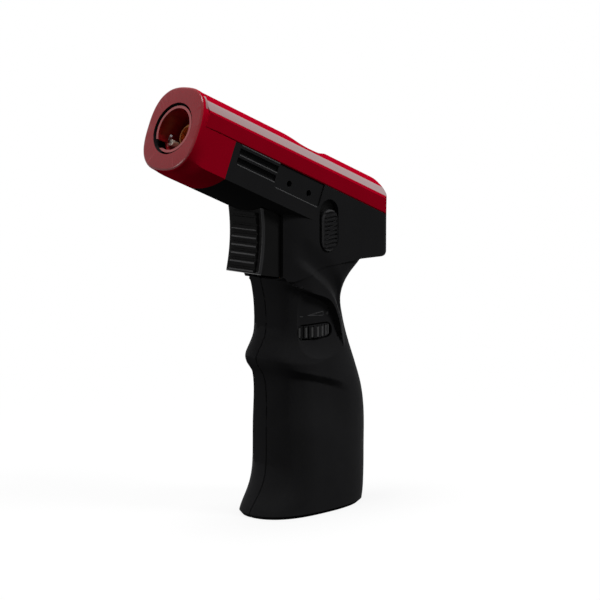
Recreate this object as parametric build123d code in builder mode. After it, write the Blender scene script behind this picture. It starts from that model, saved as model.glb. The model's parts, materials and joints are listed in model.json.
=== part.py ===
from build123d import *
from math import cos, exp, pi, radians, sin
import os

os.makedirs("parts", exist_ok=True)

# Pistol-shaped butane torch. +Z is up, the foot stands on z = 0, the muzzle points to -X and
# the whole body is symmetric about y = 0, where its two half shells meet.
# Places along the barrel are stations behind the muzzle face, and heights above the bore axis.

# barrel
barrel_pitch = 22.5
muzzle_x = -57.5
muzzle_z = 136.7
barrel_half_width = 13.3
barrel_bottom = 15.2
barrel_top = 14.9
side_bottom = 11.0
side_top = 7.1
shoulder_half_width = 10.4
shoulder_height = 10.25
crown_half_width = 7.1
crown_height = 13.0
parting_height = 2.2
rear_face_x = 31.6
rear_corner_radius = 4.0
housing_top = 130.0
wall = 1.8
neck_relief = 1.2

# red nose and cover
nose_length = 16.6
ring_thickness = 2.4
face_bevel = 1.3
muzzle_bore_radius = 9.0
saddle_profile = [(38.5, 0.0), (44.5, 0.5), (50.0, 2.0), (55.0, 2.35), (60.0, 1.9), (65.0, 0.6), (70.5, 0.0)]

# grip
neck_height = 76.0
calf_height = 33.0
grip_top = 88.0
grip_front_reach = 16.1
toe_flare = 8.4
toe_height = 8.6
ridge_height = 55.5
ridge_reach = 4.7
ridge_spread = 5.3
brow_flare = 3.0
brow_height = 18.0
grip_rear_reach = 27.3
neck_rear_reach = 14.3
tail_flare = 8.0
tail_rise = 12.0
tail_start_x = 17.0
heel_tuck = 1.5
heel_height = 4.0
grip_half_width = 13.9
neck_half_width = 13.15
crest_x = -5.0
scoop_depth = 1.85
scoop_radius = 38.0
scoop_height = 67.2
scoop_lean = 8.0
front_bluntness = 2.3
rear_bluntness = 2.5
housing_bluntness = 1.6
foot_round = 1.2
outer_levels = [5, 9, 14, 21, 32, 43, 50, 53.5, 56, 58.5, 63, 69, 75, 81, 85]
inner_levels = [4, 8, 14, 32, 42, 50, 58, 66, 74, 81]

# housing between barrel and grip
housing_front_x = -17.5
housing_front_half_width = 10.2
housing_full_x = -5.0
housing_low = 83.4
tail_bottom = 88.3
tail_corner_radius = 5.0

# trigger, sliding on a straight path pitched down towards the rear
trigger_pitch = 10.0
trigger_travel = 7.0
trigger_height = 95.6
trigger_half_width = 8.8
pad_half_width = 6.5
pad_thickness = 0.9
trigger_gap = 0.3
block_front = -8.1
block_front_top = -10.6
block_front_low = -7.8
block_low = -11.0
block_high = 11.5

# lock slider
lock_x = 1.2
lock_low = 92.0
lock_window_width = 9.0
lock_window_height = 18.2
lock_button_width = 7.4
lock_button_height = 14.4
lock_travel = 3.0
lock_proud = 0.9
slide_gap = 0.3

# valve and flame wheel
valve_x = -3.2
wheel_low = 62.5
wheel_thickness = 4.2
wheel_radius = 12.4
wheel_teeth = 40
wheel_slot_length = 16.6
wheel_slot_height = 5.4
wheel_slot_gap = 0.35
wheel_rim = 2.6
wheel_tooth = 0.75
valve_radius = 4.0
valve_neck_radius = 3.5
stem_radius = 1.2
running_gap = 0.05
press_gap = 0.02
stem_collar_radius = 2.3
stem_collar_height = 1.2

# lever
lever_pivot_x = 3.0
lever_pivot_z = 81.0
lever_thickness = 2.0
lever_half_width = 3.0
pin_radius = 1.25
lever_tip_reach = 10.3
lever_hub_wall = 1.8

# gas way and igniter
guard_outer_radius = 8.2
guard_wall = 0.9
guard_start = 0.6
guard_length = 28.0
burner_start = 7.0
burner_radius = 4.6
burner_length = 14.0
tube_radius = 2.5
tube_length = 18.0
jet_radius = 3.6
jet_length = 6.0
insulator_radius = 1.1
electrode_radius = 0.45
electrode_offset = 6.0
electrode_angle = -34.0
electrode_tip = 2.6
electrode_bend = 4.2
insulator_start = 5.2
piezo_side = 8.0
piezo_length = 24.0
plunger_radius = 2.4
wire_radius = 0.7
pipe_radius = 1.2

# tank
tank_gap = 0.4
tank_wall = 1.5
tank_top = 48.6
lid_thickness = 2.6
seal_thickness = 0.8
base_plate_thickness = 2.0
filler_x = 8.0
filler_radius = 4.0
filler_stem_radius = 1.1
filler_travel = 1.2
filler_low = 0.6
filler_top = 11.0
filler_chamber_low = 3.6
filler_chamber_top = 9.0

# screws
screw_radius = 1.3
screw_head_radius = 2.6
screw_head_height = 2.0
screw_seat_y = 7.5
screw_end_y = -7.0
boss_radius = 3.0

far = 200.0


def barrel_point(station, height, y=0.0):
    pitch = radians(barrel_pitch)
    x = muzzle_x + station * cos(pitch) + height * sin(pitch)
    z = muzzle_z - station * sin(pitch) + height * cos(pitch)
    return Vector(x, y, z)


def across_barrel(station):
    axis = barrel_point(1, 0) - barrel_point(0, 0)
    return Plane(origin=barrel_point(station, 0), x_dir=(0, 1, 0), z_dir=axis)


def along_barrel(y=0.0):
    axis = barrel_point(1, 0) - barrel_point(0, 0)
    return Plane(origin=barrel_point(0, 0, y), x_dir=axis, z_dir=(0, -1, 0))


def side_view(y=0.0):
    return Plane(origin=(0, y, 0), x_dir=(1, 0, 0), z_dir=(0, -1, 0))


trigger_axis = Vector(cos(radians(trigger_pitch)), 0, -sin(radians(trigger_pitch)))
trigger_origin = Vector(housing_front_x, 0, trigger_height)


def along_trigger(y=0.0):
    return Plane(origin=trigger_origin + Vector(0, y, 0), x_dir=trigger_axis, z_dir=(0, -1, 0))


def across_trigger(distance, height=0.0):
    origin = along_trigger().from_local_coords((distance, height, 0))
    return Plane(origin=origin, x_dir=(0, 1, 0), z_dir=trigger_axis)


def smooth_step(value, start, end):
    share = min(max((value - start) / (end - start), 0.0), 1.0)
    return share * share * (3 - 2 * share)


def grip_front(z, with_ridge):
    toe = toe_flare * exp(-((max(z, 0.0) / toe_height) ** 1.8))
    ridge = ridge_reach * exp(-(((z - ridge_height) / ridge_spread) ** 2)) if with_ridge else 0.0
    brow = brow_flare * smooth_step(z, grip_top - brow_height, grip_top)
    return -(grip_front_reach + toe + ridge + brow)


def grip_rear(z):
    body = grip_rear_reach - (grip_rear_reach - neck_rear_reach) * smooth_step(z, calf_height, neck_height)
    tail = tail_flare * (min(max(z - neck_height, 0.0), tail_rise) / tail_rise) ** 2
    heel = heel_tuck * exp(-z / heel_height)
    return body + tail - heel


def grip_width(z):
    slim = smooth_step(z, calf_height - 15, neck_height)
    return grip_half_width + (neck_half_width - grip_half_width) * slim


def bluntness(z):
    # the section grows squarer towards the housing
    return (front_bluntness, rear_bluntness + housing_bluntness * smooth_step(z, neck_height, grip_top))


def quadrant(start, end, power):
    # a quarter of a blunt oval between two points, upright at the first one's end and level at the other
    pull = (8 * 2 ** (-1 / power) - 4) / 3
    x_reach = (end[0] - start[0]) * pull
    y_reach = (end[1] - start[1]) * pull
    if start[1] == 0:
        return Bezier(start, (start[0], start[1] + y_reach), (end[0] - x_reach, end[1]), end)
    return Bezier(start, (start[0] + x_reach, start[1]), (end[0], end[1] - y_reach), end)


def grip_section(z, inset):
    # one closed outline across the grip: blunt in front, a longer blunt oval behind its widest place
    half = grip_width(z) - inset
    if inset:
        half -= neck_relief * smooth_step(z, ridge_height, neck_height)
    front_power, rear_power = bluntness(z)
    with BuildSketch(Plane.XY.offset(z)) as section:
        with BuildLine():
            nose = quadrant((grip_front(z, inset == 0) + inset, 0), (crest_x, half), front_power)
            back = quadrant((crest_x, half), (grip_rear(z) - inset, 0), rear_power)
            mirror(nose, about=Plane.XZ)
            mirror(back, about=Plane.XZ)
        make_face()
    return section.sketch


def grip_body(inset, low, high):
    # the outside is one smooth loft, and the hollows inside run straight between fewer levels
    levels = outer_levels if inset == 0 else inner_levels
    inner = [z for z in levels if low + 1.5 < z < high - 1.5]
    with BuildPart() as body:
        for z in [low, *inner, high]:
            add(grip_section(z, inset))
        loft(ruled=inset > 0)
    return body.part


def foot_rim():
    # the bevelled lower rim of the foot
    with BuildPart() as rim:
        add(grip_section(0, foot_round))
        add(grip_section(foot_round, 0))
        loft(ruled=True)
    return rim.part


def barrel_outline(station, inset=0.0):
    # the section of the barrel: flat sides, bevelled shoulders, a low crown and a round belly
    with BuildSketch(across_barrel(station)) as outline:
        with BuildLine():
            side = Polyline(
                (barrel_half_width, -side_bottom),
                (barrel_half_width, side_top),
                (shoulder_half_width, shoulder_height),
                (crown_half_width, crown_height),
            )
            mirror(side, about=Plane.YZ)
            ThreePointArc(side @ 0, (0, -barrel_bottom), (-barrel_half_width, -side_bottom))
            ThreePointArc(side @ 1, (0, barrel_top), (-crown_half_width, crown_height))
        make_face()
        if inset:
            offset(amount=-inset, kind=Kind.INTERSECTION, mode=Mode.REPLACE)
    return outline.sketch


def barrel_bar(inset, start, length):
    with BuildPart() as bar:
        extrude(barrel_outline(start, inset), amount=length, dir=across_barrel(0).z_dir)
    return bar.part


def plan_prism(inset):
    # the upright sides of the housing, narrow at the trigger and rounded at the back corners
    front = housing_front_x + inset
    rear = rear_face_x - inset
    narrow = housing_front_half_width - inset
    full = barrel_half_width - inset
    with BuildPart() as prism:
        with BuildSketch(Plane.XY.offset(60)):
            with BuildLine():
                Line((front, -narrow), (front, narrow))
                flank = Spline((front, narrow), (housing_full_x, full), tangents=[(1, 0.45), (1, 0)])
                side = Line((housing_full_x, full), (rear, full))
                Line((rear, full), (rear, -full))
                mirror(flank, about=Plane.XZ)
                mirror(side, about=Plane.XZ)
            make_face()
        extrude(amount=80)
        fillet(prism.edges().filter_by(Axis.Z).group_by(Axis.X)[-1], rear_corner_radius - inset)
    return prism.part


def housing_block(inset):
    # the side view of the housing: its front over the trigger, then the tail over the hand
    low_front = housing_low + inset
    with BuildPart() as block:
        with BuildSketch(side_view(far / 2)):
            with BuildLine():
                Polyline(
                    (crest_x + 6, grip_top - 1),
                    (tail_start_x, tail_bottom + inset),
                    (far, tail_bottom + inset),
                    (far, housing_top),
                    (housing_front_x - 5, housing_top),
                    (housing_front_x - 5, low_front),
                    (housing_front_x + 4, low_front - 0.6),
                    (crest_x + 6, grip_top - 1),
                )
            make_face()
        extrude(amount=far)
        add(plan_prism(inset), mode=Mode.INTERSECT)
    return block.part


def tail_limit(inset):
    # the room above the tail's underside, with its round lower corner at the rear
    with BuildPart() as limit:
        with BuildSketch(side_view(far / 2)):
            with BuildLine():
                Polyline(
                    (-far, -far),
                    (tail_start_x, -far),
                    (tail_start_x, tail_bottom + inset),
                    (rear_face_x - inset, tail_bottom + inset),
                    (rear_face_x - inset, far),
                    (-far, far),
                    (-far, -far),
                )
            corner = make_face().vertices().group_by(Axis.X)[-1].sort_by(Axis.Z)[0]
            fillet(corner, tail_corner_radius - inset)
        extrude(amount=far)
    return limit.part


scoop_edge = [(-26, 85.6), (-17.5, 83.4), (-6.6, 78.4), (2.0, 75.0), (6.3, 69.5), (8.2, 63.0)]


def scoops():
    # on each side, a hollow for the fingers: crisp at its upper edge, and running out over the ridge
    low_edge = ridge_height - 4
    with BuildPart() as outline:
        with BuildSketch(side_view(far / 2)):
            with BuildLine():
                Spline(*scoop_edge)
                Polyline(
                    scoop_edge[-1],
                    (scoop_edge[-1][0], low_edge),
                    (scoop_edge[0][0], low_edge),
                    scoop_edge[0],
                )
            make_face()
        extrude(amount=far)
    lean = radians(scoop_lean)
    reach = Vector(cos(lean), 0, -sin(lean)) * far / 2
    with BuildPart() as cutters:
        for side in (-1, 1):
            centre = Vector(0, side * (neck_half_width - scoop_depth + scoop_radius), scoop_height)
            add(rod(centre - reach, centre + reach, scoop_radius))
        add(outline, mode=Mode.INTERSECT)
    return cutters.part


def body_envelope(inset):
    # the whole black body as one closed form, each wall moved inwards by the inset
    with BuildPart() as envelope:
        add(barrel_bar(inset, nose_length - (0 if inset == 0 else 1), 100))
        add(rear_limit(inset), mode=Mode.INTERSECT)
        add(housing_block(inset))
        add(tail_limit(inset), mode=Mode.INTERSECT)
        if inset == 0:
            add(foot_rim())
            add(grip_body(0, foot_round, grip_top))
        else:
            add(grip_body(inset, -0.5, grip_top))
        with BuildSketch(along_barrel(far / 2)):
            with Locations((50, parting_height + 50)):
                Rectangle(300, 100)
        extrude(amount=far, mode=Mode.SUBTRACT)
    return envelope.part


def rear_limit(inset):
    with BuildPart() as limit:
        with BuildSketch(Plane.XY):
            with Locations((rear_face_x - inset - 60, 0)):
                Rectangle(120, 2 * (barrel_half_width - inset))
        extrude(amount=far)
        fillet(limit.edges().filter_by(Axis.Z).group_by(Axis.X)[-1], rear_corner_radius - inset)
    return limit.part


def muzzle_limit(inset, start):
    # everything behind a station, kept to the upright rear face
    with BuildPart() as piece:
        add(barrel_bar(inset, start, 100 - start))
        add(rear_limit(inset), mode=Mode.INTERSECT)
    return piece.part


def cut_between(low, high, start, end):
    # a slab of the barrel between two heights and two stations
    with BuildPart() as slab:
        with BuildSketch(along_barrel(far / 2)):
            with Locations(((start + end) / 2, (low + high) / 2)):
                Rectangle(end - start, high - low)
        extrude(amount=far)
    return slab.part


def saddle_cutter(drop):
    # the shallow dip along the crown, lowered by the drop
    dip = [(station, barrel_top - drop - depth) for station, depth in saddle_profile]
    with BuildPart() as cutter:
        with BuildSketch(along_barrel(far / 2)):
            with BuildLine():
                Spline(*dip, tangents=[(1, 0), (1, 0)])
                Polyline(dip[-1], (dip[-1][0], barrel_top + 1), (dip[0][0], barrel_top + 1), dip[0])
            make_face()
        extrude(amount=far)
    return cutter.part


def rod(start, end, radius):
    # a round bar from one point to another
    axis = Vector(*end) - Vector(*start)
    with BuildPart() as bar:
        with BuildSketch(Plane(origin=start, z_dir=axis)):
            Circle(radius)
        extrude(amount=axis.length)
    return bar.part


def ring(start, end, outer_radius, inner_radius):
    axis = Vector(*end) - Vector(*start)
    with BuildPart() as tube:
        with BuildSketch(Plane(origin=start, z_dir=axis)):
            Circle(outer_radius)
            Circle(inner_radius, mode=Mode.SUBTRACT)
        extrude(amount=axis.length)
    return tube.part


def barrel_rod(start, length, radius, offset=(0, 0)):
    y, height = offset
    return rod(barrel_point(start, height, y), barrel_point(start + length, height, y), radius)


def barrel_ring(start, length, outer_radius, inner_radius):
    return ring(barrel_point(start, 0), barrel_point(start + length, 0), outer_radius, inner_radius)


# red nose and cover

with BuildPart() as muzzle_shroud:
    add(barrel_bar(0, face_bevel, nose_length - face_bevel))
    add(barrel_outline(0, face_bevel))
    add(barrel_outline(face_bevel))
    loft()
    add(cut_between(parting_height, far, ring_thickness, far), mode=Mode.SUBTRACT)
    add(barrel_bar(wall, ring_thickness, nose_length), mode=Mode.SUBTRACT)
    add(barrel_rod(-1, ring_thickness + 2, muzzle_bore_radius), mode=Mode.SUBTRACT)
muzzle_shroud.part.label = "muzzle_shroud"

with BuildPart() as cover_hollow:
    add(muzzle_limit(wall, ring_thickness - 1))
    add(saddle_cutter(wall), mode=Mode.SUBTRACT)

with BuildPart() as top_cover:
    add(muzzle_limit(0, ring_thickness))
    add(saddle_cutter(0), mode=Mode.SUBTRACT)
    add(cover_hollow, mode=Mode.SUBTRACT)
    add(cut_between(-far, parting_height, -far, far), mode=Mode.SUBTRACT)
top_cover.part.label = "top_cover"

# gas way in the barrel

electrode_y = electrode_offset * cos(radians(electrode_angle))
electrode_height = electrode_offset * sin(radians(electrode_angle))
burner_end = burner_start + burner_length
holder_length = 6.0
guard_end = guard_start + guard_length
holder_start = guard_end - holder_length
tube_start = guard_end
jet_start = tube_start + tube_length
pipe_start = jet_start + jet_length

with BuildPart() as flame_guard:
    add(barrel_ring(guard_start, guard_length, guard_outer_radius, guard_outer_radius - guard_wall))
    add(barrel_ring(guard_end - 2, 2, barrel_half_width - wall - 0.1, guard_outer_radius - guard_wall))
    # a notch at the mouth and three air holes round the tube
    with BuildSketch(along_barrel(far / 2)):
        with Locations((guard_start + 1.5, electrode_height - 2.0)):
            Rectangle(5, 3)
    extrude(amount=far / 2, mode=Mode.SUBTRACT)
    for turn in (90, 210, 330):
        hole_axis = Vector(0, 1, 0).rotate(Axis((0, 0, 0), tuple(barrel_point(1, 0) - barrel_point(0, 0))), turn)
        hole_start = barrel_point(guard_start + 15, 0)
        add(rod(hole_start, hole_start + hole_axis * 12, 1.6), mode=Mode.SUBTRACT)
flame_guard.part.label = "flame_guard"

with BuildPart() as burner_nozzle:
    add(barrel_rod(burner_start, burner_length, burner_radius))
    chamfer(burner_nozzle.faces().sort_by(Axis.X)[0].edges(), 0.8)
    add(barrel_rod(burner_start - 1, 5, burner_radius - 1.4), mode=Mode.SUBTRACT)
    add(barrel_rod(burner_start, burner_length + 1, 1.0), mode=Mode.SUBTRACT)
burner_nozzle.part.label = "burner_nozzle"

holder_radius = guard_outer_radius - guard_wall - 0.05
with BuildPart() as nozzle_holder:
    add(barrel_rod(burner_end, guard_end - burner_end, holder_radius))
    add(barrel_rod(burner_end - 1, far, 1.0), mode=Mode.SUBTRACT)
    insulator_place = (electrode_y, electrode_height)
    add(barrel_rod(burner_end - 1, far, insulator_radius + running_gap, insulator_place), mode=Mode.SUBTRACT)
nozzle_holder.part.label = "nozzle_holder"

with BuildPart() as mixing_tube:
    add(barrel_ring(tube_start, tube_length, tube_radius, tube_radius - 0.6))
    air_hole = barrel_point(tube_start + tube_length - 4, 0)
    add(rod(air_hole - Vector(0, 5, 0), air_hole + Vector(0, 5, 0), 0.9), mode=Mode.SUBTRACT)
mixing_tube.part.label = "mixing_tube"

with BuildPart() as gas_jet:
    with BuildSketch(across_barrel(jet_start)):
        RegularPolygon(jet_radius, 6)
        Circle(0.6, mode=Mode.SUBTRACT)
    extrude(amount=jet_length)
gas_jet.part.label = "gas_jet"

insulator_end = tube_start + 3.0
with BuildPart() as electrode_insulator:
    add(barrel_rod(insulator_start, insulator_end - insulator_start, insulator_radius, insulator_place))
    add(barrel_rod(electrode_bend, far, electrode_radius + press_gap, insulator_place), mode=Mode.SUBTRACT)
electrode_insulator.part.label = "electrode_insulator"

tip_reach = 0.55
with BuildPart() as spark_electrode:
    with BuildLine() as electrode_line:
        FilletPolyline(
            barrel_point(insulator_end, electrode_height, electrode_y),
            barrel_point(electrode_bend, electrode_height, electrode_y),
            barrel_point(electrode_tip, electrode_height * tip_reach, electrode_y * tip_reach),
            radius=0.9,
        )
    with BuildSketch(Plane(electrode_line.line @ 0, z_dir=electrode_line.line % 0)):
        Circle(electrode_radius)
    sweep()
spark_electrode.part.label = "spark_electrode"

# trigger

carriage_rear = 12.6
opening_half_width = trigger_half_width + trigger_gap
pusher_height = 6.8
carriage_low = -7.4
arm_end = 25.6

with BuildPart() as trigger:
    with BuildSketch(along_trigger(trigger_half_width)):
        with BuildLine():
            face = ThreePointArc((block_front_top, block_high), (block_front, 1.0), (block_front_low, block_low))
            Polyline(
                face @ 1,
                (carriage_rear - 6, block_low),
                (carriage_rear - 6, block_high - 6.7),
                (-4.0, block_high - 0.9),
                face @ 0,
            )
        make_face()
    extrude(amount=2 * trigger_half_width)
    # the carriage inside: a pusher for the igniter above and an arm for the lever below
    with BuildSketch(along_trigger(4.0)):
        with Locations((carriage_rear - 4, (pusher_height + 4 + carriage_low) / 2)):
            Rectangle(8, pusher_height + 4 - carriage_low)
    extrude(amount=8.0)
    with BuildSketch(along_trigger(2.2)):
        with Locations(((carriage_rear + arm_end) / 2, carriage_low + 1.5)):
            Rectangle(arm_end - carriage_rear, 3.0)
    extrude(amount=4.4)
trigger.part.label = "trigger"

ridge_count = 7
ridge_depth = 0.5
pad_high = block_high - 1.8
with BuildPart() as trigger_pad:
    with BuildSketch(along_trigger(pad_half_width)):
        with BuildLine():
            front = ThreePointArc(
                (block_front_low - pad_thickness, block_low + 0.4),
                (block_front - pad_thickness, 1.0),
                (block_front_top - pad_thickness, pad_high),
            )
            Polyline(front @ 1, (block_front + 1, pad_high), (block_front + 1, block_low + 0.4), front @ 0)
        make_face()
    extrude(amount=2 * pad_half_width)
    # finger ridges: shallow grooves between them, each along the curve of the face
    with BuildSketch(along_trigger(pad_half_width + 1)):
        for step in range(ridge_count):
            with Locations(front @ ((step + 0.5) / ridge_count)):
                Circle(ridge_depth)
    extrude(amount=2 * pad_half_width + 2, mode=Mode.SUBTRACT)
    add(trigger, mode=Mode.SUBTRACT)
trigger_pad.part.label = "trigger_pad"

# igniter

piezo_start = 21.0
plunger_end = piezo_start + 3.5
piezo_bore = plunger_end + trigger_travel + 1.5 - piezo_start

with BuildPart() as piezo_body:
    with BuildSketch(across_trigger(piezo_start, pusher_height)):
        Rectangle(piezo_side, piezo_side)
    extrude(amount=piezo_length)
    with BuildSketch(across_trigger(piezo_start, pusher_height)):
        Circle(plunger_radius + running_gap)
    extrude(amount=piezo_bore, mode=Mode.SUBTRACT)
piezo_body.part.label = "piezo_body"

with BuildPart() as piezo_plunger:
    with BuildSketch(across_trigger(carriage_rear, pusher_height)):
        Circle(plunger_radius)
    extrude(amount=plunger_end - carriage_rear)
piezo_plunger.part.label = "piezo_plunger"

spring_wire = 0.3
spring_radius = plunger_radius + 0.3 + spring_wire
spring_length = piezo_start - carriage_rear - 2 * spring_wire - 0.1
with BuildPart() as trigger_spring:
    spring_frame = across_trigger(carriage_rear + spring_wire + 0.05, pusher_height)
    with BuildLine() as spring_line:
        Helix(
            pitch=spring_length / 4,
            height=spring_length,
            radius=spring_radius,
            center=spring_frame.origin,
            direction=trigger_axis,
        )
    with BuildSketch(Plane(spring_line.line @ 0, z_dir=spring_line.line % 0)):
        RegularPolygon(spring_wire, 6)
    sweep(is_frenet=True)
trigger_spring.part.label = "trigger_spring"

# valve, wheel and lever

valve_low = 40.0
collar_low = lever_pivot_z - 1.0 + slide_gap
with BuildPart() as valve_body:
    add(ring((valve_x, 0, valve_low), (valve_x, 0, wheel_low - 0.3), valve_radius, stem_radius + running_gap))
    top = wheel_low + wheel_thickness + 0.3
    add(ring((valve_x, 0, valve_low), (valve_x, 0, top), valve_neck_radius, stem_radius + running_gap))
    add(ring((valve_x, 0, top), (valve_x, 0, top + 4), valve_radius, stem_radius + running_gap))
    add(rod((valve_x, valve_neck_radius, top + 2), (valve_x, valve_radius + 1.6, top + 2), pipe_radius))
valve_body.part.label = "valve_body"

with BuildPart() as valve_stem:
    add(rod((valve_x, 0, wheel_low - 8), (valve_x, 0, collar_low + 2.6), stem_radius))
    add(rod((valve_x, 0, collar_low), (valve_x, 0, collar_low + stem_collar_height), stem_collar_radius))
valve_stem.part.label = "valve_stem"

with BuildPart() as flame_wheel:
    with BuildSketch(Plane.XY.offset(wheel_low)):
        with Locations((valve_x, 0)):
            Circle(wheel_radius)
            with PolarLocations(wheel_radius + wheel_tooth / 3, wheel_teeth):
                RegularPolygon(wheel_tooth, 3, rotation=180, mode=Mode.SUBTRACT)
            Circle(valve_neck_radius + running_gap, mode=Mode.SUBTRACT)
    extrude(amount=wheel_thickness)
    with BuildSketch(Plane.XY.offset(wheel_low + 1.2)):
        with Locations((valve_x, 0)):
            Circle(wheel_radius - wheel_rim)
            Circle(valve_neck_radius + 1.8, mode=Mode.SUBTRACT)
    extrude(amount=wheel_thickness, mode=Mode.SUBTRACT)
flame_wheel.part.label = "flame_wheel"

with BuildPart() as valve_lever:
    with BuildSketch(side_view(lever_half_width)):
        with Locations((lever_pivot_x, lever_pivot_z)):
            Circle(pin_radius + lever_hub_wall)
        with Locations(((lever_pivot_x + valve_x - 2.5) / 2, lever_pivot_z - 2.0)):
            Rectangle(lever_pivot_x - valve_x + 2.5, lever_thickness)
        with Locations((lever_pivot_x + lever_tip_reach / 2, lever_pivot_z + 1.4)):
            Rectangle(lever_tip_reach, lever_thickness)
    extrude(amount=2 * lever_half_width)
    with BuildSketch(side_view(far / 2)):
        with Locations((lever_pivot_x, lever_pivot_z)):
            Circle(pin_radius + running_gap)
    extrude(amount=far, mode=Mode.SUBTRACT)
    with BuildSketch(Plane.XY.offset(lever_pivot_z - 5)):
        with Locations((valve_x - 2, 0)):
            Rectangle(8, 2 * stem_radius + 1.6)
    extrude(amount=8, mode=Mode.SUBTRACT)
valve_lever.part.label = "valve_lever"

pin_half_length = 8.5
lever_pin = BuildPart()
with lever_pin:
    add(rod((lever_pivot_x, -pin_half_length, lever_pivot_z), (lever_pivot_x, pin_half_length, lever_pivot_z), pin_radius))
lever_pin.part.label = "lever_pin"

# tank, filler and foot

tank_inset = wall + tank_gap
with BuildPart() as fuel_tank:
    add(grip_body(tank_inset, base_plate_thickness, tank_top))
    add(grip_body(tank_inset + tank_wall, base_plate_thickness + tank_wall, tank_top + 5), mode=Mode.SUBTRACT)
    add(rod((filler_x, 0, 0), (filler_x, 0, filler_top + 1), filler_radius + press_gap), mode=Mode.SUBTRACT)
fuel_tank.part.label = "fuel_tank"

seal_top = tank_top + seal_thickness
with BuildPart() as tank_seal:
    with BuildSketch(Plane.XY.offset(tank_top)):
        add(grip_section(tank_top, tank_inset))
        add(grip_section(tank_top, tank_inset + tank_wall), mode=Mode.SUBTRACT)
    extrude(amount=seal_thickness)
tank_seal.part.label = "tank_seal"

with BuildPart() as tank_lid:
    with BuildSketch(Plane.XY.offset(seal_top)):
        add(grip_section(seal_top + lid_thickness, tank_inset))
        with Locations((valve_x, 0)):
            Circle(valve_radius + press_gap, mode=Mode.SUBTRACT)
    extrude(amount=lid_thickness)
tank_lid.part.label = "tank_lid"

with BuildPart() as filler_valve:
    add(ring((filler_x, 0, filler_low), (filler_x, 0, filler_top), filler_radius, filler_stem_radius + running_gap))
    add(rod((filler_x, 0, filler_chamber_low), (filler_x, 0, filler_chamber_top), filler_radius - 1.2), mode=Mode.SUBTRACT)
filler_valve.part.label = "filler_valve"

with BuildPart() as filler_stem:
    add(rod((filler_x, 0, filler_low + 0.3), (filler_x, 0, filler_top - 1), filler_stem_radius))
    add(rod((filler_x, 0, filler_chamber_low + 0.1), (filler_x, 0, filler_chamber_low + 0.9), filler_radius - 1.5))
filler_stem.part.label = "filler_stem"

filler_spring_wire = 0.25
with BuildPart() as filler_spring:
    with BuildLine() as filler_line:
        Helix(pitch=1.0, height=3.8, radius=1.9, center=(filler_x, 0, 4.85))
    with BuildSketch(Plane(filler_line.line @ 0, z_dir=filler_line.line % 0)):
        RegularPolygon(filler_spring_wire, 6)
    sweep(is_frenet=True)
filler_spring.part.label = "filler_spring"

with BuildPart() as base_plate:
    with BuildSketch(Plane.XY):
        add(grip_section(0.0, foot_round + wall + 0.1))
        with Locations((filler_x, 0)):
            Circle(filler_radius + press_gap, mode=Mode.SUBTRACT)
    extrude(amount=base_plate_thickness)
base_plate.part.label = "base_plate"

# the two half shells

outer_body = body_envelope(0)
inner_body = body_envelope(wall)

screw_places = [
    (22.0, 102.8),
    (barrel_point(40, -9.5).X, barrel_point(40, -9.5).Z),
    (9.5, 57.6),
    (-12.0, 57.2),
]

with BuildPart() as boss_core:
    with BuildSketch(side_view(barrel_half_width)):
        with Locations(*screw_places):
            Circle(boss_radius)
    extrude(amount=2 * barrel_half_width)
    with BuildSketch(side_view(barrel_half_width)):
        with Locations((lever_pivot_x, lever_pivot_z)):
            Circle(pin_radius + lever_hub_wall - 0.2)
    extrude(amount=2 * barrel_half_width)
    with BuildSketch(side_view(lever_half_width + 0.4)):
        with Locations((lever_pivot_x, lever_pivot_z)):
            Circle(pin_radius + lever_hub_wall - 0.1)
    extrude(amount=2 * lever_half_width + 0.8, mode=Mode.SUBTRACT)
    add(body_envelope(0.5), mode=Mode.INTERSECT)

opening_low = 83.6
well_low = 81.7
well_rear_x = -3.7
belly_slot_depth = 4.0
belly_slot_start = 39.5
belly_slot_end = 54.0
belly_front = barrel_point(belly_slot_start + 3.5, -barrel_bottom - press_gap)
belly_rear = barrel_point(belly_slot_end - 0.1, -barrel_bottom - press_gap)

with BuildPart() as body_cuts:
    # trigger opening
    with BuildSketch(side_view(opening_half_width)):
        with BuildLine():
            Polyline(
                (housing_front_x - 6, opening_low),
                (housing_front_x + 2.5, opening_low),
                (housing_front_x + 5.5, well_low),
                (well_rear_x, well_low),
                (well_rear_x, grip_top + 2),
                (housing_front_x + 4, grip_top + 2),
                (belly_rear.X, belly_rear.Z),
                (belly_front.X, belly_front.Z),
                (housing_front_x - 6, opening_low),
            )
        make_face()
    extrude(amount=2 * opening_half_width)
    # the trigger block reaches up through the belly of the barrel
    with BuildSketch(along_barrel(opening_half_width)):
        with Locations(((belly_slot_start + belly_slot_end) / 2, -barrel_bottom)):
            Rectangle(belly_slot_end - belly_slot_start, 2 * belly_slot_depth)
    extrude(amount=2 * opening_half_width)
    # pocket of the flame wheel
    with BuildSketch(Plane.XY.offset(wheel_low - wheel_slot_gap)):
        with Locations((valve_x, 0)):
            Circle(wheel_radius + wheel_slot_gap)
    extrude(amount=wheel_thickness + 2 * wheel_slot_gap)

rib_start = 19.4
rib_end = 38.4
rib_heights = (-1.8, -5.0)
rib_groove = 2.6
rib_depth = 1.2
rib_lip = 0.6
panel_low = -6.4
panel_end = 60.6
panel_depth = 0.6
vent_radius = 1.1

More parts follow.
